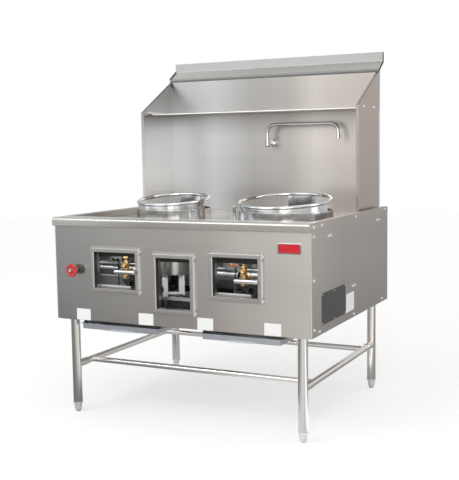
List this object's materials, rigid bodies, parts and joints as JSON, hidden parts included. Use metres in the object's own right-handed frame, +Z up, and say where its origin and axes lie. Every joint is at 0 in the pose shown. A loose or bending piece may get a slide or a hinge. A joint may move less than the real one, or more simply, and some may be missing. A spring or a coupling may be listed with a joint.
{
  "type": "wok range",
  "caption": "Commercial gas wok range: open ring stations in a sunken deck, tall backsplash with shelf and swing spout, window openings over knee valves, drip trays, round legs.",
  "frame": {"origin": "on the floor below the middle of the cabinet", "axes": "+Z up, +X to the right seen from the front, +Y from the front panel to the backsplash"},
  "size_m": [1.227, 1.172, 1.634],
  "materials": {
    "brushed_stainless": "brushed",
    "polished_stainless": "polished",
    "chrome_plate": "polished",
    "galvanised_steel": "dull zinc",
    "brass": "machined",
    "black_iron": "matt black",
    "red_enamel": "gloss paint",
    "orange_fitting": "satin",
    "white_label": "matt",
    "dark_plate": "anodised"
  },
  "bodies": {
    "range_body": {"backsplash": "brushed_stainless", "base_frame": "galvanised_steel", "blank_labels": "white_label", "burner_brackets": "galvanised_steel", "burner_tips": "brass", "burners": "black_iron", "chamber_left": "brushed_stainless", "chamber_right": "brushed_stainless", "collars": "polished_stainless", "crown": "brushed_stainless", "data_plate": "dark_plate", "deck_drain": "galvanised_steel", "deck_plate": "brushed_stainless", "deck_rails": "brushed_stainless", "fasteners": "polished_stainless", "faucet_body": "chrome_plate", "front_panel": "brushed_stainless", "front_rail": "brushed_stainless", "gas_pipes": "galvanised_steel", "gas_valves": "brass", "iron_elbows": "black_iron", "leg_inserts": "brushed_stainless", "legs": "brushed_stainless", "lower_rails": "brushed_stainless", "mixing_tubes": "black_iron", "nameplate_bezel": "brushed_stainless", "nameplate_inlay": "red_enamel", "pilot_knobs": "orange_fitting", "pilot_tubes": "black_iron", "pilot_valves": "galvanised_steel", "pipe_brackets": "galvanised_steel", "rail_sleeves": "brushed_stainless", "rear_panel": "galvanised_steel", "shelf": "brushed_stainless", "side_panel_left": "brushed_stainless", "side_panel_right": "brushed_stainless", "side_splash_left": "brushed_stainless", "side_splash_right": "brushed_stainless", "tray_runners": "galvanised_steel", "valve_bonnet": "galvanised_steel", "water_pipes": "galvanised_steel", "water_valve_body": "brass", "window_trims": "brushed_stainless"},
    "wok_ring_left": {"wok_ring_left": "polished_stainless"},
    "wok_ring_right": {"wok_ring_right": "polished_stainless"},
    "knee_lever_left": {"lever_hub_left": "brass", "lever_left": "chrome_plate"},
    "knee_lever_right": {"lever_hub_right": "brass", "lever_right": "chrome_plate"},
    "water_handwheel": {"handwheel": "red_enamel", "valve_stem": "polished_stainless"},
    "swing_spout": {"spout": "chrome_plate"},
    "drip_tray_left": {"drip_tray_left": "brushed_stainless"},
    "drip_tray_right": {"drip_tray_right": "brushed_stainless"},
    "overflow_pipe": {"overflow_pipe": "chrome_plate"},
    "foot_front_left": {"foot_front_left": "brushed_stainless"},
    "foot_front_right": {"foot_front_right": "brushed_stainless"},
    "foot_rear_left": {"foot_rear_left": "brushed_stainless"},
    "foot_rear_right": {"foot_rear_right": "brushed_stainless"}
  },
  "joints": [
    {"name": "ring_lift_left", "type": "slide", "parent": "range_body", "child": "wok_ring_left", "axis": [0, 0, 1], "range_m": [0, 0.12]},
    {"name": "ring_lift_right", "type": "slide", "parent": "range_body", "child": "wok_ring_right", "axis": [0, 0, 1], "range_m": [0, 0.12]},
    {"name": "lever_swing_left", "type": "hinge", "parent": "range_body", "child": "knee_lever_left", "pos_m": [-0.2765, -0.4505, 0.667], "axis": [0, 0, 1], "range_deg": [-50, 0]},
    {"name": "lever_swing_right", "type": "hinge", "parent": "range_body", "child": "knee_lever_right", "pos_m": [0.2915, -0.4505, 0.667], "axis": [0, 0, 1], "range_deg": [-50, 0]},
    {"name": "handwheel_turn", "type": "hinge", "parent": "range_body", "child": "water_handwheel", "pos_m": [-0.4805, -0.5725, 0.664], "axis": [0, -1, 0], "range_deg": [0, 360]},
    {"name": "spout_swing", "type": "hinge", "parent": "range_body", "child": "swing_spout", "pos_m": [0.0075, 0.4425, 1.204], "axis": [0, 0, 1], "range_deg": [-180, 0]},
    {"name": "tray_slide_left", "type": "slide", "parent": "range_body", "child": "drip_tray_left", "axis": [0, -1, 0], "range_m": [0, 0.7]},
    {"name": "tray_slide_right", "type": "slide", "parent": "range_body", "child": "drip_tray_right", "axis": [0, -1, 0], "range_m": [0, 0.7]},
    {"name": "overflow_lift", "type": "slide", "parent": "range_body", "child": "overflow_pipe", "axis": [0, 0, 1], "range_m": [0, 0.05]},
    {"name": "foot_screw_front_left", "type": "slide", "parent": "range_body", "child": "foot_front_left", "axis": [0, 0, -1], "range_m": [0, 0.025]},
    {"name": "foot_screw_front_right", "type": "slide", "parent": "range_body", "child": "foot_front_right", "axis": [0, 0, -1], "range_m": [0, 0.025]},
    {"name": "foot_screw_rear_left", "type": "slide", "parent": "range_body", "child": "foot_rear_left", "axis": [0, 0, -1], "range_m": [0, 0.025]},
    {"name": "foot_screw_rear_right", "type": "slide", "parent": "range_body", "child": "foot_rear_right", "axis": [0, 0, -1], "range_m": [0, 0.025]}
  ]
}
